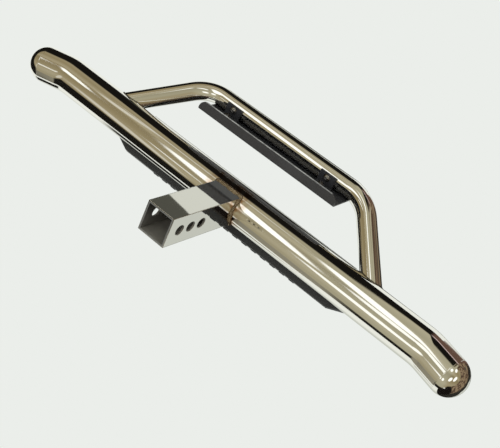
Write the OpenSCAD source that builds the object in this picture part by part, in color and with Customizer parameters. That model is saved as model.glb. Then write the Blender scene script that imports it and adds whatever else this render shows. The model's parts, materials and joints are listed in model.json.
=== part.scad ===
// Hitch receiver step: a capped round bar on a square shank, with a lower hoop step.
// +X runs across the vehicle, +Y points along the shank into the receiver, +Z is up.
// The origin is the centre of the middle pin hole in the shank.

/* [Main tube] */
// Outer diameter of the long round bar
tube_d = 63.5; // [50:0.5:76]
// Wall of the long round bar
tube_wall = 2; // [1.5:0.1:4]
// Straight length between the two end bends
tube_straight = 742; // [660:1:900]
// Centreline radius of the end bends
end_bend_r = 120; // [90:1:200]
// Angle of each end bend
end_bend_angle = 11.4; // [4:0.2:30]
// Direction of the end bends, turned up from the shank's direction
end_bend_turn = 49; // [0:1:90]
// Straight run between an end bend and its cap
end_run = 36; // [10:1:80]

/* [Shank] */
// Outside of the square shank
shank_size = 50.8; // [50:0.1:52]
// Wall of the shank
shank_wall = 3.2; // [2.5:0.1:6.5]
// From the axis of the main tube to the open end
shank_reach = 184; // [150:1:320]
// Diameter of the pin holes
pin_hole_d = 17.4; // [16:0.1:18]
// Open end to the first pin hole
hole_first = 25.4; // [20:0.1:40]
// Distance between pin holes
hole_pitch = 25.4; // [20:0.1:34]

/* [Hoop] */
// Outer diameter of the hoop tube
hoop_d = 31.8; // [25:0.1:35]
// Wall of the hoop tube
hoop_wall = 1.6; // [1.2:0.1:3]
// Distance between the legs where their axes meet the main tube's axis
leg_spread = 572; // [530:1:640]
// Distance from the main tube's axis to the hoop's long run
hoop_drop = 129.4; // [115:0.2:180]
// Direction of the hoop below the level, seen from the side
hoop_angle = 46.4; // [30:0.2:60]
// Lean of each leg towards the middle
leg_lean = 43.2; // [30:0.2:46]
// Centreline radius of the hoop's bends
hoop_bend_r = 76; // [55:1:80]

/* [Welds] */
// Throat of the bead round the shank
shank_bead = 3.2; // [2:0.1:6]
// Throat of the beads round the hoop legs
leg_bead = 2.4; // [1.5:0.1:5]

/* [Main tread] */
// Length of the moulded tread
tread_len = 494; // [420:1:520]
// Width of the moulded tread
tread_w = 76; // [68:0.5:90]
// Thickness above the crown of the tube
tread_t = 6; // [5:0.5:10]
// Depth that the tread saddles down round the tube
saddle_depth = 4; // [2:0.5:8]
// Turn of the tread's face from straight up towards the rear
tread_turn = 50; // [20:1:70]
// Length of each tapered corner
taper_len = 27; // [10:1:60]
// How far each corner tapers in
taper_in = 11; // [4:0.5:20]
// Distance between grip ribs
rib_pitch = 20; // [14:1:30]
// Number of grip ribs
rib_count = 16; // [8:1:19]
// Height of a grip rib
rib_h = 2.2; // [1:0.2:4]
// How far a rib stands out past the tread's edge
rib_lip = 0.8; // [0.4:0.1:2]
// Distance between the outer screws
screw_span = 420; // [300:5:450]
// Number of screws through the tread
screw_count = 4; // [3:1:5]
// Thread diameter of the tread screws
screw_d = 6; // [5:0.5:8]

/* [Hoop tread] */
// How far each end of the plate reaches past the start of the hoop's bend
plate_over = 11.4; // [0:0.2:12]
// Depth of the folded plate, front to back
plate_w = 80; // [70:1:90]
// Sheet thickness of the folded plate
plate_t = 2.5; // [2:0.1:4]
// Depth of the turned down flanges
flange_h = 18.5; // [12:0.5:24]
// Outside radius of the folds
fold_r = 4; // [3:0.5:6]
// How far the plate's middle lies inboard of the hoop run
plate_inset = 12.6; // [6:0.1:14]
// Radius of the flange ends
flange_end_r = 14; // [6:0.5:15]

/* [Brackets] */
// From the start of the hoop's bend to the middle of a bracket
bracket_inset = 32.1; // [20:0.1:60]
// Width of a bracket
bracket_w = 30; // [24:1:40]
// Sheet thickness of a bracket
bracket_t = 3; // [2:0.5:5]
// How far a bracket reaches in under the plate
bracket_reach = 24; // [20:0.5:26]
// How far a bracket reaches down past its bolt into the hoop
bracket_foot = 7.5; // [7:0.1:12]
// Thread diameter of the bolts into the hoop
hoop_bolt_d = 6; // [5:0.5:8]
// Thread diameter of the bolts through the plate
plate_bolt_d = 6; // [5:0.5:6]

/* [Hidden] */
$fn = 72;
seat = 0.05;          // gap between pieces that bear on each other
lap = 2;              // how far a straight stretch laps into its bend, so that both are one piece
lap_step = 0.05;      // how much slimmer the lapped stretch is
thread_play = 0.05;   // radial play of a screw in its nut
hole_play = 0.3;      // radial play of a bolt in a plain hole
tube_r = tube_d / 2;
hoop_r = hoop_d / 2;
pin_to_tube = shank_reach - hole_first - hole_pitch;
run_y = -pin_to_tube - hoop_drop * cos(hoop_angle);
run_z = -hoop_drop * sin(hoop_angle);
run_half = leg_spread / 2 - hoop_drop * tan(leg_lean) - hoop_bend_r * tan((90 - leg_lean) / 2);
leg_len = hoop_drop / cos(leg_lean) - hoop_bend_r * tan((90 - leg_lean) / 2);
plate_top = run_z + hoop_r + seat + plate_t;
plate_mid_y = run_y + plate_inset;
crown = tube_r + tread_t;
rivet_flange_r = screw_d * 1.1;
rivet_body_r = screw_d * 0.75;
rivet_flange_t = 1;
head_depth = screw_d * 0.5;
hoop_rivet_r = hoop_bolt_d * 0.75;
washer_t = plate_bolt_d * 0.2;
nut_h = plate_bolt_d * 0.83;
leg_y = run_y + hoop_r + seat;
bracket_drop = hoop_r + bracket_foot;
plate_len = 2 * (run_half + plate_over);
bracket_spread = 2 * (run_half - bracket_inset);
screw_below = screw_d * 1.5;
rivet_below = screw_d * 2;
hoop_rivet_len = hoop_bolt_d * 1.8;
hoop_bolt_len = hoop_bolt_d * 1.6;

steel = [0.76, 0.74, 0.68];
black_coat = [0.08, 0.08, 0.09];
black_plastic = [0.13, 0.13, 0.14];
zinc = [0.75, 0.76, 0.78];

// Places things on the axis of the main tube
module on_tube() {
    translate([0, -pin_to_tube, 0]) children();
}

// Solid round bar along X, as wide as the straight part of the main tube
module tube_core(r, half) {
    on_tube() translate([-half, 0, 0]) rotate([0, 90, 0]) cylinder(r = r, h = 2 * half);
}

// Places things at the start of the right end bend, which then curves towards +Y
module at_bend() {
    on_tube() translate([tube_straight / 2, 0, 0]) rotate([end_bend_turn, 0, 0]) children();
}

// Places things at the mouth of the right end, with +Z pointing out of it
module at_mouth() {
    at_bend() translate([end_bend_r * sin(end_bend_angle), end_bend_r * (1 - cos(end_bend_angle)), 0])
        rotate([0, 0, end_bend_angle]) translate([end_run, 0, 0]) rotate([0, 90, 0]) children();
}

// One bend and one end run of the main tube
module tube_end() {
    at_bend() translate([0, end_bend_r, 0]) rotate([0, 0, -90])
        rotate_extrude(angle = end_bend_angle, $fn = 180) translate([end_bend_r, 0]) ring(tube_r, tube_wall);
    at_mouth() translate([0, 0, -end_run - lap]) linear_extrude(end_run + lap) lapped_ring(tube_r, tube_wall);
}

// Section of a round tube
module ring(r, wall) {
    difference() {
        circle(r = r);
        circle(r = r - wall);
    }
}

// Section of a straight stretch that laps into a bend
module lapped_ring(r, wall) {
    ring(r - lap_step, wall - 2 * lap_step);
}

// Places one child at each tread screw, with +Z square to the tread's face
module at_tread_screws() {
    on_tube() for (i = [0 : screw_count - 1])
        translate([screw_span * (i / (screw_count - 1) - 0.5), 0, 0]) rotate([tread_turn, 0, 0]) children();
}

// Long round bar, holed for the tread's rivet nuts
module main_tube() {
    color(steel) difference() {
        union() {
            on_tube() translate([-tube_straight / 2 - lap, 0, 0]) rotate([0, 90, 0])
                linear_extrude(tube_straight + 2 * lap) lapped_ring(tube_r, tube_wall);
            tube_end();
            mirror([1, 0, 0]) tube_end();
        }
        at_tread_screws() cylinder(r = rivet_body_r + seat, h = tube_r + 5);
    }
}

// Domed cap pressed from sheet
module end_cap() {
    color(steel) at_mouth() rotate_extrude() intersection() {
        ring(tube_r, tube_wall);
        square(tube_r);
    }
}

module right_end_cap() {
    end_cap();
}

module left_end_cap() {
    mirror([1, 0, 0]) end_cap();
}

// Square bar along Y from the tube's axis to the open end
module shank_core(size, extra) {
    translate([-size / 2, -pin_to_tube, -size / 2]) cube([size, shank_reach + extra, size]);
}

// Square tube cut to saddle the main tube, with a row of pin holes
module shank() {
    color(steel) difference() {
        shank_core(shank_size, 0);
        shank_core(shank_size - 2 * shank_wall, 1);
        tube_core(tube_r + seat, shank_size);
        for (i = [-1 : 1])
            translate([-shank_size, i * hole_pitch, 0]) rotate([0, 90, 0])
                cylinder(r = pin_hole_d / 2, h = 2 * shank_size);
    }
}

// Bead round the foot of the shank
module shank_weld() {
    color(steel) difference() {
        intersection() {
            shank_core(shank_size + 2 * shank_bead, 0);
            tube_core(tube_r + shank_bead, shank_size);
        }
        shank_core(shank_size + 2 * seat, 1);
        tube_core(tube_r + seat, shank_size + 1);
    }
}

// Solid straight leg from the main tube's axis to its bend
module leg_core(r) {
    on_tube() rotate([180 + hoop_angle, 0, 0]) translate([leg_spread / 2, 0, 0])
        rotate([0, 0, leg_lean]) rotate([-90, 0, 0]) cylinder(r = r, h = leg_len);
}

// One leg and one bend of the hoop
module hoop_half() {
    on_tube() rotate([180 + hoop_angle, 0, 0]) {
        translate([leg_spread / 2, 0, 0]) rotate([0, 0, leg_lean]) rotate([-90, 0, 0])
            linear_extrude(leg_len + lap) lapped_ring(hoop_r, hoop_wall);
        translate([run_half, hoop_drop - hoop_bend_r, 0]) rotate([0, 0, leg_lean])
            rotate_extrude(angle = 90 - leg_lean, $fn = 180) translate([hoop_bend_r, 0]) ring(hoop_r, hoop_wall);
    }
}

// Bent hoop, its feet cut to saddle the main tube, holed for the bolts
module hoop_tube() {
    color(steel) difference() {
        union() {
            hoop_half();
            mirror([1, 0, 0]) hoop_half();
            translate([-run_half - lap, run_y, run_z]) rotate([0, 90, 0])
                linear_extrude(2 * (run_half + lap)) lapped_ring(hoop_r, hoop_wall);
        }
        tube_core(tube_r + seat, leg_spread);
        at_hoop_bolts() cylinder(r = hoop_rivet_r + seat, h = hoop_r);
    }
}

// Bead round the foot of one leg
module leg_weld() {
    color(steel) difference() {
        intersection() {
            leg_core(hoop_r + leg_bead);
            tube_core(tube_r + leg_bead, leg_spread);
        }
        leg_core(hoop_r + seat);
        tube_core(tube_r + seat, leg_spread + 1);
    }
}

module hoop_weld_right() {
    leg_weld();
}

module hoop_weld_left() {
    mirror([1, 0, 0]) leg_weld();
}

// Outline of the main tread, seen square to its face
module tread_outline() {
    x1 = tread_len / 2;
    x2 = x1 - taper_len;
    y1 = tread_w / 2;
    y2 = y1 - taper_in;
    polygon([[x1, -y2], [x1, y2], [x2, y1], [-x2, y1], [-x1, y2], [-x1, -y2], [-x2, -y1], [x2, -y1]]);
}

// Moulded tread with cross ribs, saddled on the tube
module main_tread() {
    color(black_plastic) difference() {
        on_tube() rotate([tread_turn, 0, 0]) {
            translate([0, 0, tube_r - saddle_depth]) linear_extrude(tread_t + saddle_depth) tread_outline();
            for (i = [0 : rib_count - 1])
                translate([(i - (rib_count - 1) / 2) * rib_pitch - rib_pitch / 4, -tread_w / 2 - rib_lip, crown - 2])
                    cube([rib_pitch / 2, tread_w + 2 * rib_lip, 2 + rib_h]);
        }
        tube_core(tube_r + seat, tread_len);
        at_tread_screws() {
            cylinder(r = rivet_flange_r + hole_play, h = tube_r + rivet_flange_t + seat);
            cylinder(r = screw_d / 2 + hole_play, h = crown + 10);
            translate([0, 0, crown - head_depth])
                cylinder(r1 = screw_d / 2 + hole_play, r2 = screw_d + hole_play, h = head_depth);
            translate([0, 0, crown]) cylinder(r = screw_d + hole_play, h = 10);
        }
    }
}

// Countersunk screws through the main tread
module main_tread_screws() {
    color(zinc) at_tread_screws() {
        translate([0, 0, tube_r - screw_below]) cylinder(r = screw_d / 2, h = crown - tube_r + screw_below - head_depth);
        difference() {
            translate([0, 0, crown - head_depth]) cylinder(r1 = screw_d / 2, r2 = screw_d, h = head_depth);
            translate([0, 0, crown - head_depth * 0.7]) cylinder(r = screw_d * 0.36, h = head_depth, $fn = 6);
        }
    }
}

// Rivet nuts set in the main tube
module main_tread_rivet_nuts() {
    color(zinc) at_tread_screws() difference() {
        union() {
            translate([0, 0, tube_r - rivet_below]) cylinder(r = rivet_body_r, h = rivet_below);
            translate([0, 0, tube_r + seat]) cylinder(r = rivet_flange_r, h = rivet_flange_t - seat);
            translate([0, 0, tube_r - 1]) cylinder(r = rivet_body_r, h = 2);
        }
        translate([0, 0, tube_r - rivet_below - 1]) cylinder(r = screw_d / 2 + thread_play, h = 2 * rivet_below);
    }
}

// Section of the folded plate, looking along X, with its top at y = 0
module plate_section() {
    w = plate_w / 2;
    difference() {
        rounded_channel(w, fold_r, 0);
        rounded_channel(w - plate_t, fold_r - plate_t, plate_t);
    }
}

// Half strip with two rounded top corners, open below
module rounded_channel(w, r, down) {
    translate([-w, -flange_h - down]) square([2 * w, flange_h - r]);
    translate([-w + r, -r - down - 0.001]) square([2 * (w - r), r + 0.001]);
    for (s = [-1, 1])
        translate([s * (w - r), -r - down]) circle(r = r, $fn = 48);
}

// Folded plate on top of the hoop run
module hoop_tread() {
    color(black_coat) difference() {
        translate([-plate_len / 2, plate_mid_y, plate_top]) rotate([90, 0, 90])
            linear_extrude(plate_len) plate_section();
        flange_corner();
        mirror([1, 0, 0]) flange_corner();
        at_plate_bolts() translate([0, 0, -plate_t - 1]) cylinder(r = plate_bolt_d / 2 + hole_play, h = plate_t + 2);
    }
}

// What is cut from the flange ends to round them
module flange_corner() {
    r = flange_end_r;
    translate([plate_len / 2 - r, plate_mid_y - plate_w, plate_top - flange_h]) difference() {
        translate([0, 0, -1]) cube([r + 1, 2 * plate_w, r + 1]);
        translate([0, -1, r]) rotate([-90, 0, 0]) cylinder(r = r, h = 2 * plate_w + 2);
    }
}

// Places one child at each bolt into the hoop, with +Z pointing from the bolt head into the hoop
module at_hoop_bolts() {
    for (s = [-1, 1])
        translate([s * bracket_spread / 2, leg_y + bracket_t, run_z]) rotate([90, 0, 0]) children();
}

// Places one child at each bolt through the plate, with +Z up and the plate's top at zero
module at_plate_bolts() {
    for (s = [-1, 1])
        translate([s * bracket_spread / 2, leg_y + bracket_t + bracket_reach / 2, plate_top]) children();
}

// Angle bracket between the hoop and the plate
module bracket(s) {
    color(black_coat) difference() {
        translate([s * bracket_spread / 2 - bracket_w / 2, leg_y, plate_top - plate_t - seat]) {
            translate([0, 0, -bracket_drop]) cube([bracket_w, bracket_t, bracket_drop]);
            translate([0, 0, -bracket_t]) cube([bracket_w, bracket_reach, bracket_t]);
        }
        at_hoop_bolts() translate([0, 0, -1]) cylinder(r = hoop_bolt_d / 2 + hole_play, h = bracket_t + 1.5);
        at_plate_bolts() translate([0, 0, -plate_t - bracket_t - 1])
            cylinder(r = plate_bolt_d / 2 + hole_play, h = bracket_t + 2);
    }
}

module bracket_left() {
    bracket(-1);
}

module bracket_right() {
    bracket(1);
}

// Low dome of base radius r and height h
module dome(r, h) {
    big = (r * r + h * h) / (2 * h);
    rotate_extrude() intersection() {
        translate([0, h - big]) circle(r = big, $fn = 96);
        square([r, h]);
    }
}

// Button head bolts into the hoop
module hoop_bolts() {
    color(zinc) at_hoop_bolts() {
        difference() {
            translate([0, 0, -washer_t - seat]) mirror([0, 0, 1]) dome(hoop_bolt_d * 0.95, hoop_bolt_d * 0.6);
            translate([0, 0, -washer_t - hoop_bolt_d * 0.75])
                cylinder(r = hoop_bolt_d * 0.36, h = hoop_bolt_d * 0.45, $fn = 6);
        }
        translate([0, 0, -washer_t - seat]) cylinder(r = hoop_bolt_d / 2, h = washer_t + bracket_t + hoop_bolt_len);
    }
}

// Plain washers under the bolts into the hoop
module hoop_bolt_washers() {
    color(zinc) at_hoop_bolts() difference() {
        translate([0, 0, -washer_t]) cylinder(r = hoop_bolt_d * 1.05, h = washer_t - seat);
        translate([0, 0, -washer_t - 1]) cylinder(r = hoop_bolt_d / 2 + hole_play, h = washer_t + 2);
    }
}

// Flush rivet nuts in the hoop's wall
module hoop_rivet_nuts() {
    color(zinc) at_hoop_bolts() difference() {
        translate([0, 0, bracket_t + 2 * seat]) cylinder(r = hoop_rivet_r, h = hoop_rivet_len);
        cylinder(r = hoop_bolt_d / 2 + thread_play, h = hoop_r + 5);
    }
}

// Low button head bolts down through the plate
module plate_bolts() {
    color(zinc) at_plate_bolts() {
        translate([0, 0, seat]) dome(plate_bolt_d * 0.95, plate_bolt_d * 0.5);
        translate([0, 0, -plate_t - bracket_t - washer_t - nut_h - 2])
            cylinder(r = plate_bolt_d / 2, h = plate_t + bracket_t + washer_t + nut_h + 2 + seat);
    }
}

// Plain washers under the brackets
module plate_washers() {
    color(zinc) at_plate_bolts() translate([0, 0, -plate_t - bracket_t - washer_t - 2 * seat]) difference() {
        cylinder(r = plate_bolt_d, h = washer_t);
        translate([0, 0, -1]) cylinder(r = plate_bolt_d / 2 + hole_play, h = washer_t + 2);
    }
}

// Hexagon nuts under the washers
module plate_nuts() {
    color(zinc) at_plate_bolts() translate([0, 0, -plate_t - bracket_t - washer_t - nut_h - 3 * seat]) difference() {
        cylinder(r = plate_bolt_d * 0.96, h = nut_h, $fn = 6);
        translate([0, 0, -1]) cylinder(r = plate_bolt_d / 2 + thread_play, h = nut_h + 2);
    }
}

main_tube();
left_end_cap();
right_end_cap();
shank();
shank_weld();
hoop_tube();
hoop_weld_left();
hoop_weld_right();
main_tread();
main_tread_screws();
main_tread_rivet_nuts();
hoop_tread();
bracket_left();
bracket_right();
hoop_bolts();
hoop_bolt_washers();
hoop_rivet_nuts();
plate_bolts();
plate_washers();
plate_nuts();
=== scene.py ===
# %% [markdown]
# # A hitch receiver step, dressed for its picture
# The step is a long polished bar on a square shank, with a ribbed tread on the
# bar and a bent hoop below it that carries a folded plate. Its construction
# comes ready made as the frame, and this lesson gives it its surfaces.
# Everything is in metres. +X runs across the vehicle, +Y along the shank into
# the receiver and +Z up; the origin is the middle pin hole.

# %% Load the frame
import bpy
import json
import numpy as np
from mathutils import Matrix


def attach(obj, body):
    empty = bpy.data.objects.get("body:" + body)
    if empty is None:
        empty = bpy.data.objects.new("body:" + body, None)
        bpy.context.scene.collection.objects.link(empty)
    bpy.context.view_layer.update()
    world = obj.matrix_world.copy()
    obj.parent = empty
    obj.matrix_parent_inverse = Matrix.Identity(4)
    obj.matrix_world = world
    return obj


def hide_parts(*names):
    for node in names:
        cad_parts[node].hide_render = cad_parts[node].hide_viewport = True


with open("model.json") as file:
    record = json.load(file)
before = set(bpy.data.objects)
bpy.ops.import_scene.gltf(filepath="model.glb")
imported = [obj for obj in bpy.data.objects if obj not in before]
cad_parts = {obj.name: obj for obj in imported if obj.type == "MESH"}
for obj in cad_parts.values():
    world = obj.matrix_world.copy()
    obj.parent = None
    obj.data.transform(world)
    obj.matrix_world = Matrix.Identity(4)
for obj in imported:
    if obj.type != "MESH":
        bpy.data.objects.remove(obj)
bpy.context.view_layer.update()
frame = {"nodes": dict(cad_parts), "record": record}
nodes = frame["nodes"]
print("nodes:", len(nodes))

# %% [markdown]
# ## Main measures
# The same measures as in the construction, in metres: the bar, its two bent
# ends, the shank and the hoop. Each later cell takes what it needs from here.

# %% Main measures
mm = 0.001
tube_r = 31.75 * mm
tube_half = 371.0 * mm
end_bend_r = 120.0 * mm
end_bend = np.radians(11.4)
end_turn = np.radians(49.0)
end_run = 36.0 * mm
tube_y = -133.2 * mm
hoop_r = 15.9 * mm
leg_half = 286.0 * mm
hoop_drop = 129.4 * mm
hoop_angle = np.radians(46.4)
leg_lean = np.radians(43.2)
hoop_bend_r = 76.0 * mm
shank_half = 25.4 * mm
shank_end = 50.8 * mm
plate_edge = -93.76 * mm
x_axis = np.array([1.0, 0.0, 0.0])
mirror = np.array([-1.0, 1.0, 1.0])
print("bar radius", tube_r, "hoop radius", hoop_r)

# %% [markdown]
# ## From a grid of points to a mesh
# Every new piece is a grid: rows along the piece, columns around it, with the
# last column joined to the first. The faces of a grid follow from row and
# column numbers alone, so numpy writes them all at once.

# %% Grid to mesh
tube_cols = 128
bead_cols = 20


def grid_faces(rows, cols):
    """Quads of a closed grid: corners (i, j), (i, j+1), (i+1, j+1), (i+1, j), j wrapping round."""
    i, j = np.meshgrid(np.arange(rows - 1), np.arange(cols), indexing="ij")
    right = (j + 1) % cols
    quads = np.stack([i * cols + j, i * cols + right,
                      (i + 1) * cols + right, (i + 1) * cols + j], -1)
    return quads.reshape(-1, 4)


def outward(points, faces, middle):
    """The faces, turned over if (b - a) x (c - a) of the first one looks towards middle."""
    a, b, c = points[faces[0, 0]], points[faces[0, 1]], points[faces[0, 2]]
    looks = np.dot(np.cross(b - a, c - a), (a + b + c) / 3 - middle)
    return faces if looks > 0 else faces[:, ::-1]


def make_piece(name, points, faces, material):
    """A smooth mesh object from points (n, 3) and lists of corners, riding on the root body."""
    mesh = bpy.data.meshes.new(name)
    mesh.from_pydata(points.tolist(), [], faces)
    mesh.update()
    mesh.polygons.foreach_set("use_smooth", np.full(len(mesh.polygons), True))
    mesh.materials.append(material)
    piece = bpy.data.objects.new(name, mesh)
    bpy.context.scene.collection.objects.link(piece)
    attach(piece, "root")
    print(name, len(mesh.vertices), "points", len(mesh.polygons), "faces")
    return piece


print("columns of a tube", tube_cols, "and of a bead", bead_cols)

# %% [markdown]
# ## A tube along a path
# Both the bar and the hoop are round tubes bent in one plane. A ring is drawn
# square to the path at each of its points, between the direction that lies in
# the plane and the one that stands on it, so no ring twists against the last.

# %% Ring around a path
def rings(path, tangent, flat_normal, radius, cols=tube_cols):
    """Path + radius * (cos a * side + sin a * flat normal), with side = flat normal x tangent."""
    a = np.linspace(0, 2 * np.pi, cols, endpoint=False)
    side = np.cross(flat_normal, tangent)
    out = np.cos(a)[None, :, None] * side[:, None, :] + np.sin(a)[None, :, None] * flat_normal
    return path[:, None, :] + radius * out


def arc_and_runs(first, radius, angle, last, steps=28):
    """A straight of length first, an arc (first + r sin b, r (1 - cos b)) for b up to angle, and
    a straight of length last. Returns points and directions (n, 2), along and across the start."""
    b = np.linspace(0, angle, steps)
    start = np.array([[0.0, 0.0]])
    arc = np.stack([first + radius * np.sin(b), radius * (1 - np.cos(b))], -1)
    way = np.stack([np.cos(b), np.sin(b)], -1)
    ending = arc[-1:] + last * way[-1:]
    return np.vstack([start, arc, ending]), np.vstack([way[:1], way, way[-1:]])


print("steps in an end bend", len(arc_and_runs(tube_half, end_bend_r, end_bend, end_run)[0]) - 2)

# %% [markdown]
# ## Node helpers
# A finish is a small net of shader nodes. These helpers add one node each and
# hand on its output, so that a finish can be read as a few lines of sums.

# %% Node helpers
def new_material(name, metallic=0.0):
    """A material with nodes: returns it, its tree and its Principled shader."""
    material = bpy.data.materials.new(name)
    material.use_nodes = True
    tree = material.node_tree
    shader = tree.nodes["Principled BSDF"]
    shader.inputs["Metallic"].default_value = metallic
    return material, tree, shader


def node(tree, kind, settings=None, inputs=None):
    """Adds a node, sets its properties and the values of its sockets."""
    made = tree.nodes.new(kind)
    for key, value in (settings or {}).items():
        setattr(made, key, value)
    for key, value in (inputs or {}).items():
        made.inputs[key].default_value = value
    return made


def reckon(tree, kind, first, second=0.0):
    """One Math node on sockets or numbers."""
    made = node(tree, "ShaderNodeMath", {"operation": kind})
    for k, value in enumerate((first, second)):
        if isinstance(value, (int, float)):
            made.inputs[k].default_value = value
        else:
            tree.links.new(value, made.inputs[k])
    return made.outputs[0]


def tinted(tree, fac, first, second):
    """Colour mix: first where fac is 0, second where it is 1. Each is a socket or a tuple."""
    made = node(tree, "ShaderNodeMix", {"data_type": "RGBA"})
    tree.links.new(fac, made.inputs[0])
    for socket, value in ((made.inputs[6], first), (made.inputs[7], second)):
        if isinstance(value, tuple):
            socket.default_value = (*value, 1)
        else:
            tree.links.new(value, socket)
    return made.outputs[2]


def blend_colours(tree, fac, first, second):
    """A mix of two colours by a socket, as a colour ramp from first to second."""
    ramp = node(tree, "ShaderNodeValToRGB")
    ramp.color_ramp.elements[0].color = (*first, 1)
    ramp.color_ramp.elements[1].color = (*second, 1)
    tree.links.new(fac, ramp.inputs["Fac"])
    return ramp.outputs["Color"]


def span(tree, fac, low, high, start=0.0, end=1.0):
    """A number that runs from start to end while fac runs from low to high."""
    ranged = node(tree, "ShaderNodeMapRange", None,
                  {"From Min": low, "From Max": high, "To Min": start, "To Max": end})
    tree.links.new(fac, ranged.inputs["Value"])
    return ranged.outputs["Result"]


print("node helpers ready")

# %% [markdown]
# ## Places, noise and small relief
# Every pattern is laid over Object coordinates, so it stays on the piece. The
# relief is a bump of known height in metres, and a bevel shader rounds the
# edges of the folded and sawn pieces without a change to their mesh.

# %% Places, noise and small relief
cloud_low, cloud_high = 0.3, 0.7


def place(tree):
    """The three Object coordinates as sockets X, Y and Z."""
    split = node(tree, "ShaderNodeSeparateXYZ")
    tree.links.new(node(tree, "ShaderNodeTexCoord").outputs["Object"], split.inputs[0])
    return split.outputs


def square_reach(tree, x, z):
    """max(|x|, |z|): how far out a point lies, in squares round the shank's axis."""
    return reckon(tree, "MAXIMUM", reckon(tree, "ABSOLUTE", x), reckon(tree, "ABSOLUTE", z))


def object_noise(tree, scale, detail=3.0, stretch=(1, 1, 1)):
    """Noise over Object coordinates, drawn out by stretch."""
    where = node(tree, "ShaderNodeTexCoord")
    mapping = node(tree, "ShaderNodeMapping", None, {"Scale": stretch})
    noise = node(tree, "ShaderNodeTexNoise", None, {"Scale": scale, "Detail": detail})
    tree.links.new(where.outputs["Object"], mapping.inputs["Vector"])
    tree.links.new(mapping.outputs["Vector"], noise.inputs["Vector"])
    return noise.outputs["Fac"]


def bump(tree, shader, height, distance, strength=1.0, normal=None):
    """Puts a height under the shader's normal, distance in metres."""
    made = node(tree, "ShaderNodeBump", None, {"Strength": strength, "Distance": distance})
    tree.links.new(height, made.inputs["Height"])
    if normal is not None:
        tree.links.new(normal, made.inputs["Normal"])
    tree.links.new(made.outputs["Normal"], shader.inputs["Normal"])
    return made.outputs["Normal"]


def rounded(tree, radius):
    """The normal that the surface would have if its sharp edges were rounded off."""
    return node(tree, "ShaderNodeBevel", {"samples": 4}, {"Radius": radius}).outputs["Normal"]


def clouded(tree, shader, clouds, dark, light, roughness):
    """Base colour from dark to light, roughness from its first value to its second, by clouds."""
    tree.links.new(blend_colours(tree, clouds, dark, light), shader.inputs["Base Color"])
    rough = span(tree, clouds, cloud_low, cloud_high, *roughness)
    tree.links.new(rough, shader.inputs["Roughness"])


def feed(shader, name):
    """The socket that feeds one of the shader's inputs."""
    return shader.inputs[name].links[0].from_socket


print("surface helpers ready")

# %% [markdown]
# ## Polished steel
# The bar and the hoop are polished stainless steel. Its colour comes almost
# wholly from what it mirrors, so the base stays pale and the roughness low,
# and a faint brushed waviness keeps the mirror from looking computed. Heat has
# tinted the bar round the weld. The shank is polished outside only: mill scale
# is left inside it, with painted shade that makes it darker towards the bottom
# and on its left wall.

# %% Polished steel
tube_colour, shank_colour = (0.86, 0.85, 0.81), (0.86, 0.85, 0.82)
straw_tint, bare_cut = (0.50, 0.30, 0.17), (0.20, 0.20, 0.19)
scale_dark, scale_light = (0.20, 0.19, 0.165), (0.42, 0.39, 0.34)
inside_shade_black = (0.012, 0.011, 0.010)
wave_height = 0.06 * mm


def polished_steel(name, colour, roughness, grain, edge=None):
    """Mirror steel: cloudy roughness, lines of height grain drawn out along X, a faint waviness,
    and sharp edges rounded by the radius edge, if there is one."""
    material, tree, shader = new_material(name, 1.0)
    clouds = object_noise(tree, 9.0, 4.0)
    clouded(tree, shader, clouds, [c * 0.94 for c in colour], colour, roughness)
    lines = object_noise(tree, 900.0, 2.0, (0.02, 1, 1))
    waves = object_noise(tree, 26.0, 1.0, (0.3, 1, 1))
    first = bump(tree, shader, lines, grain, 1.0, rounded(tree, edge) if edge else None)
    bump(tree, shader, waves, wave_height, 1.0, first)
    return material


def heat_tint(material):
    """Straw and brown heat colours on the bar round the foot of the shank, broken up by noise."""
    weld_line, start, fade = 27.0 * mm, 2.0 * mm, 18.0 * mm
    tree = material.node_tree
    shader = tree.nodes["Principled BSDF"]
    x, y, z = place(tree)
    away = reckon(tree, "SUBTRACT", square_reach(tree, x, z), weld_line)
    near = span(tree, reckon(tree, "ABSOLUTE", away), start, fade, 1.0, 0.0)
    front = reckon(tree, "GREATER_THAN", y, tube_y)
    patchy = span(tree, object_noise(tree, 110.0, 3.0), 0.35, 0.62, 0.15, 1.0)
    amount = reckon(tree, "MULTIPLY", reckon(tree, "MULTIPLY", near, front), patchy)
    colour = tinted(tree, amount, feed(shader, "Base Color"), straw_tint)
    tree.links.new(colour, shader.inputs["Base Color"])


def mill_inside(material, half, mouth):
    """Scale inside the square tube, where max(|x|, |z|) < half, darkened by painted shade towards
    the bottom and the left wall, and bare metal on its cut end.
    """
    skin, rim = 0.3 * mm, 1.2 * mm
    tree = material.node_tree
    shader = tree.nodes["Principled BSDF"]
    x, y, z = place(tree)
    square = square_reach(tree, x, z)
    inside = reckon(tree, "LESS_THAN", square, half - skin)
    end_face = reckon(tree, "GREATER_THAN", y, mouth - skin)
    cut = reckon(tree, "MULTIPLY", end_face, reckon(tree, "LESS_THAN", square, half - rim))
    clouds = object_noise(tree, 60.0, 4.0)
    scale = blend_colours(tree, clouds, scale_dark, scale_light)
    # painted shade: the scale inside the tube turns near black towards the bottom and the left wall
    upwards = span(tree, z, -20.0 * mm, 21.5 * mm, 0.15, 1.0)
    off_wall = span(tree, x, -22.5 * mm, -21.0 * mm, 0.45, 1.0)
    painted_inside_shade = reckon(tree, "MULTIPLY", upwards, off_wall)
    scale = tinted(tree, painted_inside_shade, inside_shade_black, scale)
    colour = tinted(tree, inside, feed(shader, "Base Color"), scale)
    tree.links.new(tinted(tree, cut, colour, bare_cut), shader.inputs["Base Color"])
    dull = reckon(tree, "MULTIPLY", reckon(tree, "MAXIMUM", inside, cut), 0.5)
    rough = reckon(tree, "MAXIMUM", feed(shader, "Roughness"), dull)
    tree.links.new(rough, shader.inputs["Roughness"])
    tree.links.new(span(tree, inside, 0.0, 1.0, 1.0, 0.2), shader.inputs["Metallic"])


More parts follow.
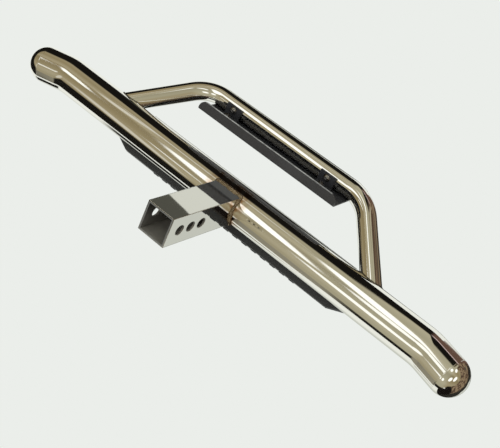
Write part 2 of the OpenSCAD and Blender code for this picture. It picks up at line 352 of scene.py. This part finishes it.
tube_steel = polished_steel("tube_steel", tube_colour, (0.03, 0.09), 0.0015 * mm)
hoop_steel = polished_steel("hoop_steel", tube_colour, (0.03, 0.09), 0.0015 * mm)
shank_steel = polished_steel("shank_steel", shank_colour, (0.008, 0.02), 0.001 * mm, 1.6 * mm)
heat_tint(tube_steel)
mill_inside(shank_steel, shank_half, shank_end)
print("polished steels made")

# %% [markdown]
# ## Weld metal
# The dressed welds are rougher than the tube. The one round the shank kept its
# heat colours, and those round the hoop's legs are dark grey.

# %% Weld metal
def weld_finish(name, dark, light):
    """Dressed weld: heat colours from dark to light, rougher than the polished tube."""
    material, tree, shader = new_material(name, 1.0)
    clouded(tree, shader, object_noise(tree, 120.0, 3.0), dark, light, (0.14, 0.3))
    bump(tree, shader, object_noise(tree, 420.0, 3.0), 0.5 * mm)
    return material


weld_metal = weld_finish("weld_bead", (0.09, 0.06, 0.04), (0.62, 0.52, 0.38))
leg_weld_metal = weld_finish("leg_weld", (0.04, 0.04, 0.036), (0.30, 0.29, 0.25))
print("weld metals made")

# %% [markdown]
# ## The bar
# The long bar is straight for most of its length and turns up slightly at both
# ends. The whole path lies in one plane, so one ring rule serves it all. Half
# of the path is reckoned, and its mirror image is set before it.

# %% The bar
bar_flat = np.array([0.0, np.cos(end_turn), np.sin(end_turn)])
bar_origin = np.array([0.0, tube_y, 0.0])
half_path, half_way = arc_and_runs(tube_half, end_bend_r, end_bend, end_run)
along = np.concatenate([-half_path[::-1, 0], half_path[:, 0]])
across = np.concatenate([half_path[::-1, 1], half_path[:, 1]])
way_x = np.concatenate([half_way[::-1, 0], half_way[:, 0]])
way_y = np.concatenate([-half_way[::-1, 1], half_way[:, 1]])
keep = np.concatenate([[True], np.diff(along) > 1e-7])
along, across, way_x, way_y = along[keep], across[keep], way_x[keep], way_y[keep]
bar_path = bar_origin + along[:, None] * x_axis + across[:, None] * bar_flat
bar_tangent = way_x[:, None] * x_axis + way_y[:, None] * bar_flat
bar_normal = np.cross(x_axis, bar_flat)
lip_share = 0.004


def tube_piece(name, path, tangent, flat_normal, radius, material, feet=None):
    """A closed tube: rings along the path and a fan over each end. A ring set lip_share of the way
    in keeps the shading of the flat ends off the tube. Feet are other first and last rings."""
    grid = rings(path, tangent, flat_normal, radius)
    if feet is not None:
        grid[0], grid[-1] = feet
    lips = grid[[0, -1]] + lip_share * (grid[[1, -2]] - grid[[0, -1]])
    grid = np.concatenate([grid[:1], lips[:1], grid[1:-1], lips[1:], grid[-1:]])
    points = grid.reshape(-1, 3)
    plain = grid_faces(len(grid), tube_cols)
    faces = outward(points, plain, path[0])
    middles = np.vstack([grid[0].mean(0), grid[-1].mean(0)])
    a = np.arange(tube_cols)
    b = (a + 1) % tube_cols
    last = (len(grid) - 1) * tube_cols
    head = np.stack([np.full(tube_cols, len(points)), b, a], -1)
    tail = np.stack([np.full(tube_cols, len(points) + 1), last + a, last + b], -1)
    if faces is not plain:
        head, tail = head[:, ::-1], tail[:, ::-1]
    everything = [*faces.tolist(), *head.tolist(), *tail.tolist()]
    return make_piece(name, np.vstack([points, middles]), everything, material)


bar = tube_piece("bar_skin", bar_path, bar_tangent, bar_normal, tube_r, tube_steel)
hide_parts("main_tube")

# %% [markdown]
# ## The domed caps
# Each end of the bar is closed by a pressed dome, welded on and polished, so
# only a hair line is left between them. The dome is a quarter circle turned
# round the end's own axis; its first rows dip to make that line.

# %% The domed caps
groove_depth, groove_at, groove_width = 0.06 * mm, 0.012, 0.01


def dome_piece(name, mouth, way):
    """Radius R cos t and height R sin t for t from 0 to 90 degrees, less a groove near the mouth,
    depth * exp(-((t - at) / width)^2). A fan of triangles round one point closes the pole."""
    t = np.concatenate([np.linspace(0, 0.06, 9), np.linspace(0.1, np.pi / 2, 34)])
    groove = groove_depth * np.exp(-(((t - groove_at) / groove_width) ** 2))
    r = (tube_r - groove) * np.cos(t)
    path = mouth + (tube_r * np.sin(t))[:, None] * way
    grid = rings(path, np.repeat(way[None], len(t), 0), bar_normal, 1.0)
    grid = path[:, None, :] + (grid - path[:, None, :]) * r[:, None, None]
    points = np.vstack([grid[:-1].reshape(-1, 3), path[-1:]])
    faces = outward(points, grid_faces(len(grid) - 1, tube_cols), mouth)
    a = np.arange(tube_cols)
    last = (len(grid) - 2) * tube_cols
    pole = np.full(tube_cols, len(points) - 1)
    fan = outward(points, np.stack([last + a, last + (a + 1) % tube_cols, pole], -1), mouth)
    return make_piece(name, points, [*faces.tolist(), *fan.tolist()], tube_steel)


for side, cad in ((0, "left_end_cap"), (-1, "right_end_cap")):
    way = bar_tangent[side] * (-1 if side == 0 else 1)
    cap = dome_piece(cad.replace("end_cap", "dome"), bar_path[side], way)
    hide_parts(cad)

# %% [markdown]
# ## The hoop
# The hoop starts on the bar, comes down on two leaning legs, turns through a
# wide bend at each side and runs straight along the bottom. Where a leg meets
# the bar its end is cut to the bar's round: each line of the leg stops where
# it first touches the cylinder, which is the root of a quadratic.

# %% The hoop
hoop_way = np.array([0.0, -np.cos(hoop_angle), -np.sin(hoop_angle)])
hoop_normal = np.cross(x_axis, hoop_way)
bend_turn = np.pi / 2 - leg_lean
leg_len = hoop_drop / np.cos(leg_lean) - hoop_bend_r * np.tan(bend_turn / 2)
leg_way = -np.sin(leg_lean) * x_axis + np.cos(leg_lean) * hoop_way
leg_side = -np.cos(leg_lean) * x_axis - np.sin(leg_lean) * hoop_way
leg_start = bar_origin + leg_half * x_axis
local, local_way = arc_and_runs(leg_len, hoop_bend_r, bend_turn, 0.0, 40)
local, local_way = local[:-1], local_way[:-1]
right_half = leg_start + local[:, :1] * leg_way + local[:, 1:] * leg_side
right_way = local_way[:, :1] * leg_way + local_way[:, 1:] * leg_side
hoop_path = np.vstack([right_half, right_half[::-1] * mirror])
hoop_tangent = np.vstack([right_way, right_way[::-1] * mirror * -1])


def foot_ring(centre, way, flat_normal, radius, cols=tube_cols, lift=0.0):
    """The leg's ring, each point slid along way until (y - bar y)^2 + z^2 = (bar r + lift)^2."""
    ring = rings(centre[None], way[None], flat_normal, radius, cols)[0]
    dy, dz = ring[:, 1] - tube_y, ring[:, 2]
    a = way[1] ** 2 + way[2] ** 2
    b = dy * way[1] + dz * way[2]
    c = dy**2 + dz**2 - (tube_r + lift) ** 2
    return ring + ((-b + np.sqrt(b * b - a * c)) / a)[:, None] * way


right_foot = foot_ring(leg_start, leg_way, hoop_normal, hoop_r)
hoop = tube_piece("hoop_skin", hoop_path, hoop_tangent, hoop_normal, hoop_r, hoop_steel,
                  feet=(right_foot, right_foot * mirror))
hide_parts("hoop_tube")
print("hoop low point", round(float(hoop_path[:, 2].min()), 4))

# %% [markdown]
# ## Weld beads
# A weld is laid as a row of small overlapping drops. The bead is a round
# string along the joint, and its thickness swells and falls once for every
# drop, with the front of each drop a little steeper than its back.

# %% Weld beads
ripple_share, sway_share = 0.14, 0.3


def bead_piece(name, line, radius, pitch, material):
    """A string along a closed line, radius * (1 + 0.14 ripple + 0.3 sway). The ripple is
    sin(p + 0.6 sin p) with p one turn a drop, and the sway a slow product of two sines. Both
    follow the line's length."""
    step = np.roll(line, -1, 0) - np.roll(line, 1, 0)
    way = step / np.linalg.norm(step, axis=1, keepdims=True)
    length = np.concatenate([[0], np.cumsum(np.linalg.norm(np.diff(line, axis=0), axis=1))])
    total = length[-1] + np.linalg.norm(line[0] - line[-1])
    drops = round(total / pitch)
    phase = 2 * np.pi * drops * length / total
    ripple = np.sin(phase + 0.6 * np.sin(phase))
    sway = np.sin(2 * np.pi * 5 * length / total + 1) * np.sin(2 * np.pi * 13 * length / total)
    thickness = radius * (1 + ripple_share * ripple + sway_share * sway)
    outwards = line - line.mean(0)
    side = outwards - (outwards * way).sum(1, keepdims=True) * way
    side /= np.linalg.norm(side, axis=1, keepdims=True)
    up = np.cross(way, side)
    a = np.linspace(0, 2 * np.pi, bead_cols, endpoint=False)
    ring = np.cos(a)[None, :, None] * side[:, None, :] + np.sin(a)[None, :, None] * up[:, None, :]
    points = (line[:, None, :] + ring * thickness[:, None, None]).reshape(-1, 3)
    faces = grid_faces(len(line) + 1, bead_cols) % len(points)
    faces = outward(points, faces, line[0])
    return make_piece(name, points, faces.tolist(), material)


def shank_line(count=720, power=14):
    """A rounded square |x|^n + |z|^n = h^n, n being the power, laid on the bar:
    y = bar y + sqrt(R^2 - z^2)."""
    t = np.linspace(0, 2 * np.pi, count, endpoint=False)
    c, s = np.cos(t), np.sin(t)
    r = (shank_half + 0.6 * mm) / (np.abs(c) ** power + np.abs(s) ** power) ** (1 / power)
    x, z = r * c, r * s
    return np.stack([x, tube_y + np.sqrt((tube_r + 0.4 * mm) ** 2 - z * z), z], -1)


shank_bead = bead_piece("shank_bead", shank_line(), 2.6 * mm, 2.4 * mm, weld_metal)
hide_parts("shank_weld")
leg_line = foot_ring(leg_start, leg_way, hoop_normal, hoop_r - 0.1 * mm, 360, 0.3 * mm)
for side, cad in ((1, "hoop_weld_right"), (-1, "hoop_weld_left")):
    line = leg_line * np.array([side, 1.0, 1.0])
    bead = bead_piece(cad.replace("weld", "bead"), line, 1.0 * mm, 1.7 * mm, leg_weld_metal)
    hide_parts(cad)

# %% [markdown]
# ## Black parts and fasteners
# The tread is moulded black plastic with a fine pebble grain. The folded plate
# and its brackets are powder coated steel, which has a soft orange peel; a pale
# painted highlight runs along the free edge of the plate. Bolts and nuts have a
# dark bright plating.

# %% Black parts and fasteners
plastic_colours = (0.032, 0.034, 0.037), (0.048, 0.050, 0.053)
coat_colours = (0.036, 0.036, 0.041), (0.052, 0.052, 0.058)
edge_highlight_colour = (0.50, 0.50, 0.49)
plating_colours = (0.24, 0.24, 0.25), (0.38, 0.38, 0.39)


def moulded_plastic():
    """Black plastic: cloudy satin gloss, with a pebble grain from a Voronoi pattern."""
    material, tree, shader = new_material("tread_plastic")
    clouds = object_noise(tree, 14.0, 3.0)
    clouded(tree, shader, clouds, *plastic_colours, (0.42, 0.55))
    where = node(tree, "ShaderNodeTexCoord")
    cells = node(tree, "ShaderNodeTexVoronoi", None, {"Scale": 900.0})
    tree.links.new(where.outputs["Object"], cells.inputs["Vector"])
    bump(tree, shader, cells.outputs["Distance"], 0.06 * mm, 0.7)
    return material


def powder_coat(name, highlight_below=None):
    """Black powder coat: fine orange peel, satin gloss, and, if a height is given, a pale patchy
    painted highlight below that height.
    """
    material, tree, shader = new_material(name)
    clouds = object_noise(tree, 20.0, 3.0)
    clouded(tree, shader, clouds, *coat_colours, (0.30, 0.40))
    if highlight_below is not None:
        # painted highlight: below this height the coat turns pale in patches, standing in for light
        # caught on the flange's free edge
        highlight_band = reckon(tree, "LESS_THAN", place(tree)[2], highlight_below)
        patchy = span(tree, object_noise(tree, 90.0, 3.0), 0.4, 0.6, 0.5, 1.0)
        amount = reckon(tree, "MULTIPLY", highlight_band, patchy)
        colour = tinted(tree, amount, feed(shader, "Base Color"), edge_highlight_colour)
        tree.links.new(colour, shader.inputs["Base Color"])
    bump(tree, shader, object_noise(tree, 650.0, 2.0), 0.04 * mm, 0.8, rounded(tree, 0.9 * mm))
    return material


def plating():
    """Dark bright plating: slightly cloudy, with fine marks from noise."""
    material, tree, shader = new_material("fastener_zinc", 1.0)
    clouds = object_noise(tree, 260.0, 2.0)
    clouded(tree, shader, clouds, *plating_colours, (0.10, 0.2))
    bump(tree, shader, object_noise(tree, 1500.0, 2.0), 0.004 * mm, 1.0, rounded(tree, 0.6 * mm))
    return material


print("black finishes and plating ready")

# %% [markdown]
# ## Finishes on the frame
# The record of the frame says which finish each node takes. The plate alone
# gets a second coat, with a pale painted highlight along its free edge.

# %% Finishes on the frame
finishes = {
    "tread_plastic": moulded_plastic(),
    "plate_coat": powder_coat("plate_coat"),
    "fastener_zinc": plating(),
    "polished_shank": shank_steel,
    "polished_tube": tube_steel,
    "polished_hoop": hoop_steel,
    "weld_bead": weld_metal,
}
for part in frame["record"]["subparts"]:
    target = nodes[part["node"]]
    target.data.materials.clear()
    target.data.materials.append(finishes[part["material_slot"]])
# the plate's coat with a painted highlight on the free edge of its flange
highlit_edge_coat = powder_coat("highlit_edge_plate_coat", plate_edge + 0.6 * mm)
nodes["hoop_tread"].data.materials[0] = highlit_edge_coat

# %% [markdown]
# ## Surroundings
# Polished steel shows the room. The room is painted as a function of
# direction: a pale table on one side, a dark band above it, a warm room beyond
# and long bright windows. The edges of the band rise and fall on the way round,
# as they do round a real table. Only mirrored rays meet this room.
# Matt surfaces are lit by an even pale dome, and what the camera sees directly
# stays one plain pale tone.

# %% Sums in the world
room_up = (0.0, 0.766, -0.643)
room_side = (0.0, 0.643, 0.766)
world = bpy.data.worlds.new("room")
bpy.context.scene.world = world
world.use_nodes = True
sky = world.node_tree
sky.nodes.clear()
ray = node(sky, "ShaderNodeTexCoord").outputs["Generated"]


def linear(red, green, blue):
    """Turns 0 to 255 screen values into scene-linear ones."""
    c = np.array([red, green, blue]) / 255
    return tuple(float(v) for v in np.where(c <= 0.04045, c / 12.92, ((c + 0.055) / 1.055) ** 2.4))


def plus(first, second):
    """first + second."""
    return reckon(sky, "ADD", first, second)


def minus(first, second):
    """first - second."""
    return reckon(sky, "SUBTRACT", first, second)


def times(first, second):
    """first * second, which for two masks is where both hold."""
    return reckon(sky, "MULTIPLY", first, second)


def over(first, second):
    """first / second."""
    return reckon(sky, "DIVIDE", first, second)


def at_least(first, second):
    """The larger of the two."""
    return reckon(sky, "MAXIMUM", first, second)


def at_most(first, second):
    """The smaller of the two."""
    return reckon(sky, "MINIMUM", first, second)


def all_but(mask):
    """1 - mask: everywhere but where the mask holds."""
    return minus(1.0, mask)


print("world with", len(sky.nodes), "node")

# %% [markdown]
# ## Masks and curves
# The room is put together from masks, numbers that are 1 in one range of
# directions and 0 elsewhere, with soft edges, and from curves through a few
# stops.

# %% Masks and curves
def mix(fac, first, second):
    """Colour mix: first where fac is 0."""
    return tinted(sky, fac, first, second)


def facing(direction):
    """Dot product of the ray's direction with a fixed one."""
    made = node(sky, "ShaderNodeVectorMath", {"operation": "DOT_PRODUCT"}, {1: direction})
    sky.links.new(ray, made.inputs[0])
    return made.outputs["Value"]


def curve(fac, stops, low=0.0, high=1.0):
    """Straight lines between (at, value) stops. At runs from low to high; values lie in -2 to 2
    and are kept in the ramp as value / 4 + 0.5."""
    ramp = node(sky, "ShaderNodeValToRGB")
    band = ramp.color_ramp
    band.elements.remove(band.elements[-1])
    for k, (at, value) in enumerate(stops):
        where = (at - low) / (high - low)
        element = band.elements[0] if k == 0 else band.elements.new(where)
        element.position = where
        element.color = (value / 4 + 0.5,) * 3 + (1,)
    sky.links.new(over(minus(fac, low), high - low), ramp.inputs["Fac"])
    return times(minus(ramp.outputs["Color"], 0.5), 4.0)


def soft_step(value, edge, width):
    """0 below the edge, 1 above it, over the given width."""
    made = node(sky, "ShaderNodeMapRange", {"interpolation_type": "SMOOTHSTEP"},
                {"From Min": -width / 2, "From Max": width / 2})
    sky.links.new(minus(value, edge), made.inputs["Value"])
    return made.outputs["Result"]


def below(value, edge, width):
    """1 below the edge, 0 above it, over the given width."""
    return all_but(soft_step(value, edge, width))


def between(value, low, high, width):
    """1 between low and high, 0 outside, with soft edges."""
    return times(soft_step(value, low, width), below(value, high, width))


print("masks ready")

# %% [markdown]
# ## Where a ray looks
# The room is drawn as it would be seen from the step. How high a ray looks
# settles table, dark band and warm room. Where it looks down, it is carried on
# to a flat table one unit below, and where it looks up, to a flat ceiling one
# unit above. Its two places there say what it meets.

# %% Where a ray looks
height, sideways, right = facing(room_up), facing(room_side), facing((1.0, 0.0, 0.0))
reach = reckon(sky, "ABSOLUTE", right)
spread = plus(reckon(sky, "ABSOLUTE", sideways), plus(reach, 0.001))
round_about = over(sideways, spread)
least_slope = 0.05
down = at_least(times(height, -1.0), least_slope)
table_x, table_y = over(right, down), over(sideways, down)
raised = at_least(height, least_slope)
ceiling_x, ceiling_y = over(right, raised), over(sideways, raised)
print("directions:", len(sky.nodes), "nodes")

# %% [markdown]
# ## The table
# The pale table reaches up to an edge that dips and rises round the step. It
# has two parts, one to the left and one to the right, and two dark marks are
# taken out of it. It is greyer straight below and at one stretch of its edge.

# %% The table
table_edge = curve(round_about, [(-0.85, -0.24), (-0.72, -0.2638), (-0.635, -0.2636),
                                 (-0.60, -0.35), (0.0, -0.40), (0.72, -0.40), (0.78, -0.26)],
                   -1.0, 1.0)
left_part = between(table_x, -1.85, -0.05, 0.04)
right_part = times(between(table_x, 0.04, 0.75, 0.05), between(table_y, -0.45, 0.12, 0.05))
rim_line = times(below(table_x, -0.55, 0.06), between(table_y, 0.5, 1.35, 0.08))
rim_line = times(rim_line, soft_step(right, -0.53, 0.02))
shade = times(between(round_about, -0.71, -0.605, 0.03), below(height, -0.40, 0.05))
table = times(below(height, table_edge, 0.0012), at_most(plus(left_part, right_part), 1.0))
table = times(times(table, all_but(rim_line)), all_but(shade))
under = soft_step(times(height, -1.0), 0.78, 0.3)
far_table = times(between(round_about, -0.73, -0.60, 0.02), between(height, -0.36, -0.24, 0.04))
table_white, table_under = linear(250, 252, 245), linear(206, 209, 200)
table_far = linear(222, 224, 214)
table_colour = mix(under, mix(far_table, table_white, table_far), table_under)
print("table:", len(sky.nodes), "nodes")

# %% [markdown]
# ## Ceiling lamps
# Each lamp or window is an oval on the ceiling, given by its middle, its two
# half widths, how far it leans, and its power.

# %% Ceiling lamps
lamp_softness = 0.5
ceiling_lamps = [
    (-0.445, 0.19, 0.105, 0.28, 1.4, 1.0),
    (-0.26, -0.28, 0.085, 0.20, 2.0, 1.0),
    (-0.23, 0.16, 0.05, 0.14, 0.0, 0.9),
    (-0.35, 0.98, 0.11, 0.26, 0.0, 0.9),
    (-0.72, 0.12, 0.04, 0.14, 0.0, 1.0),
    (-0.56, -0.58, 0.17, 0.06, 0.0, 0.35),
    (-1.30, 2.0, 0.35, 0.35, -2.5, 0.3),
    (-0.65, -0.33, 0.03, 0.22, 0.0, 0.35),
    (-0.68, 0.82, 0.05, 0.10, 0.0, 0.6),
    (0.15, -0.41, 0.12, 0.17, 0.0, 1.0),
    (0.57, -0.78, 0.17, 0.26, 0.0, 1.0),
    (0.0, 1.0, 0.13, 0.27, 0.0, 1.0),
    (0.65, 0.44, 0.18, 0.30, 0.0, 1.0),
    (1.21, 0.06, 0.28, 0.38, 0.0, 1.0),
]


def lamp_patch(centre_x, centre_y, half_x, half_y, lean, power):
    """power where (u / half_x)^2 + ((v - lean u) / half_y)^2 < 1, with a soft edge, and 0 outside;
    u and v are the places on the ceiling, measured from the centre."""
    u = minus(ceiling_x, centre_x)
    v = minus(minus(ceiling_y, centre_y), times(u, lean))
    u, v = over(u, half_x), over(v, half_y)
    q = plus(times(u, u), times(v, v))
    return times(below(q, 1.0, lamp_softness), power)


lamps = lamp_patch(*ceiling_lamps[0])
for patch in ceiling_lamps[1:]:
    lamps = plus(lamps, lamp_patch(*patch))
print("ceiling lamps:", len(ceiling_lamps))

# %% [markdown]
# ## The warm room
# Above the dark band the room is a warm grey, browner towards both ends of the
# vehicle, with paler and darker clouds along its length and the lamps on top.

# %% The warm room
warm_grey, warm_brown = linear(178, 173, 148), linear(152, 138, 104)
pale_cloud, dark_cloud = linear(214, 205, 178), linear(112, 98, 72)
lamp_white = (1.35, 1.35, 1.28)
warm = curve(reach, [(0.0, 0.0), (0.24, 0.1), (0.36, 0.45), (0.5, 0.9), (0.6, 1.0)])
cloudy = curve(ceiling_y, [(-1.5, 0.25), (-0.6, 0.0), (-0.2, 0.35), (0.05, -0.25),
                           (0.5, 0.0), (1.4, 0.25), (3.0, 0.0)], -1.5, 3.0)
room = mix(warm, warm_grey, warm_brown)
room = mix(at_least(cloudy, 0.0), room, pale_cloud)
room = mix(at_least(times(cloudy, -1.0), 0.0), room, dark_cloud)
room = mix(at_most(lamps, 1.0), room, lamp_white)
print("warm room:", len(sky.nodes), "nodes")

# %% [markdown]
# ## The dark band
# Between table and room lies a dark band. To the right it is mottled brown,
# with one window strip. On the hoop's side it reaches higher and ends in a pink
# line. On the shank's side it is nearly black on the right and lit on the left.

# %% The dark band
near_black, darkest, floor_black = linear(24, 22, 19), linear(24, 20, 18), linear(46, 44, 40)
brown_dark, brown_light, brown_low = linear(84, 66, 54), linear(150, 130, 104), linear(104, 80, 68)
window_white, pink = linear(235, 235, 228), linear(214, 190, 186)
step_grey, lit_grey = linear(84, 84, 76), linear(146, 141, 124)
higher_by = 0.38
room_edge = curve(round_about, [(-1.0, 0.36), (-0.82, 0.36), (-0.74, 0.60), (-0.62, 0.62),
                                (-0.56, 0.50), (-0.2, 0.30), (0.3, 0.25), (0.588, 0.31),
                                (0.68, 0.16), (0.80, 0.03)], -1.0, 1.0)
hoop_side = times(between(right, -0.11, 0.14, 0.05), below(sideways, -0.5, 0.1))
room_edge = plus(room_edge, times(hoop_side, higher_by))
dark = below(height, room_edge, 0.10)
mottles = node(sky, "ShaderNodeTexNoise", None, {"Scale": 7.0, "Detail": 4.0})
sky.links.new(ray, mottles.inputs["Vector"])
patches = soft_step(mottles.outputs["Fac"], 0.5, 0.16)
brown = mix(patches, brown_dark, brown_light)
brown = mix(soft_step(height, -0.5, 0.2), floor_black, brown)
night = mix(soft_step(right, 0.08, 0.2), near_black, brown)
shank_side = times(soft_step(sideways, 0.62, 0.08), soft_step(right, 0.0, 0.1))
night = mix(shank_side, night, darkest)
window_strip = times(between(right, 0.29, 0.42, 0.03), between(height, 0.02, 0.26, 0.06))
window_strip = times(window_strip, soft_step(sideways, 0.75, 0.06))
night = mix(window_strip, night, window_white)
night = mix(times(hoop_side, below(height, 0.2, 0.05)), night, brown_low)
pink_line = times(hoop_side, between(height, 0.22, 0.30, 0.03))
night = mix(pink_line, night, pink)
near_step = times(between(round_about, -0.71, -0.61, 0.03), between(height, -0.30, -0.16, 0.06))
lit_side = times(soft_step(sideways, 0.5, 0.3), between(right, -0.40, -0.27, 0.05))
night = mix(lit_side, mix(near_step, night, step_grey), lit_grey)
print("dark band:", len(sky.nodes), "nodes")

# %% [markdown]
# ## The room put together
# The band covers the room, and the table covers both. Mirrored rays get this
# room, other light comes from the even dome, and the camera's own rays see one
# plain tone.

# %% The room put together
dome_white, backdrop = linear(236, 237, 235), linear(235, 238, 234)
room = mix(table, mix(dark, room, night), table_colour)
rays = node(sky, "ShaderNodeLightPath").outputs
lit = mix(rays["Is Glossy Ray"], dome_white, room)
seen = mix(rays["Is Camera Ray"], lit, backdrop)
paint = node(sky, "ShaderNodeBackground")
sky.links.new(seen, paint.inputs["Color"])
output = node(sky, "ShaderNodeOutputWorld")
sky.links.new(paint.outputs[0], output.inputs["Surface"])
print("surroundings:", len(sky.nodes), "nodes")

# %% [markdown]
# ## Floor and lamps
# The step floats well above a plain pale floor, because the camera looks up at
# it and stands above the floor too. Two large soft lamps light it plainly.
# Floor and lamps aren't mirrored in the steel.

# %% Floor and lamps
floor_half, floor_level = 30.0, -0.86
lit_point = (0, -0.15, 0)
lamp_size = 1.2
floor_colour, floor_roughness = linear(226, 228, 225), 0.9


def floor_piece():
    """A flat square 60 m wide below the camera, not seen in the steel."""
    s, z = floor_half, floor_level
    mesh = bpy.data.meshes.new("floor")
    mesh.from_pydata([(-s, -s, z), (s, -s, z), (s, s, z), (-s, s, z)], [], [(0, 1, 2, 3)])
    mesh.update()
    piece = bpy.data.objects.new("floor", mesh)
    bpy.context.scene.collection.objects.link(piece)
    material, tree, shader = new_material("floor_paint")
    shader.inputs["Base Color"].default_value = (*floor_colour, 1)
    shader.inputs["Roughness"].default_value = floor_roughness
    piece.data.materials.append(material)
    piece.visible_glossy = False


def soft_lamp(name, stand, power):
    """A square area lamp at stand, aimed at lit_point: its own axes are side, rise and away."""
    data = bpy.data.lights.new(name, "AREA")
    data.size = lamp_size
    data.energy = power
    lamp = bpy.data.objects.new(name, data)
    bpy.context.scene.collection.objects.link(lamp)
    away = np.array(stand) - np.array(lit_point)
    away = away / np.linalg.norm(away)
    side = np.cross((0.0, 0.0, 1.0), away)
    side = side / np.linalg.norm(side)
    rise = np.cross(away, side)
    lamp.matrix_world = Matrix(np.column_stack([side, rise, away]).tolist()).to_4x4()
    lamp.location = stand
    lamp.visible_glossy = False


floor_piece()
soft_lamp("top_lamp", (0.5, -0.9, 1.6), 9)
soft_lamp("camera_lamp", (0.2, 1.5, -0.6), 4)
print("floor at", floor_level)

# %% [markdown]
# ## Camera
# The camera stands where the photograph was taken from. Its place, its three
# directions and its focal length came from fitting a pinhole camera to the
# shank's corners and the outline of the bar and hoop.

# %% Camera
image_wide, image_high = 500, 448
focal_px = 994.02
centre_px = (248.05, 223.72)
right_way_seen = np.array([0.7304, -0.5742, -0.3699])
down_way_seen = np.array([0.5677, 0.2093, 0.7962])
forward_seen = np.array([-0.3797, -0.7915, 0.4788])
sight = bpy.data.cameras.new("camera")
sight.sensor_width = 36.0
sight.lens = focal_px / image_wide * sight.sensor_width
sight.shift_x = (image_wide / 2 - centre_px[0]) / image_wide
sight.shift_y = (centre_px[1] - image_high / 2) / image_wide
viewer = bpy.data.objects.new("camera", sight)
bpy.context.scene.collection.objects.link(viewer)
turn = np.column_stack([right_way_seen, -down_way_seen, -forward_seen])
viewer.matrix_world = Matrix(turn.tolist()).to_4x4()
viewer.location = (0.6348, 1.0982, -0.7283)
bpy.context.scene.camera = viewer
bpy.context.scene.view_settings.view_transform = "Standard"
print("lens", round(sight.lens, 2))
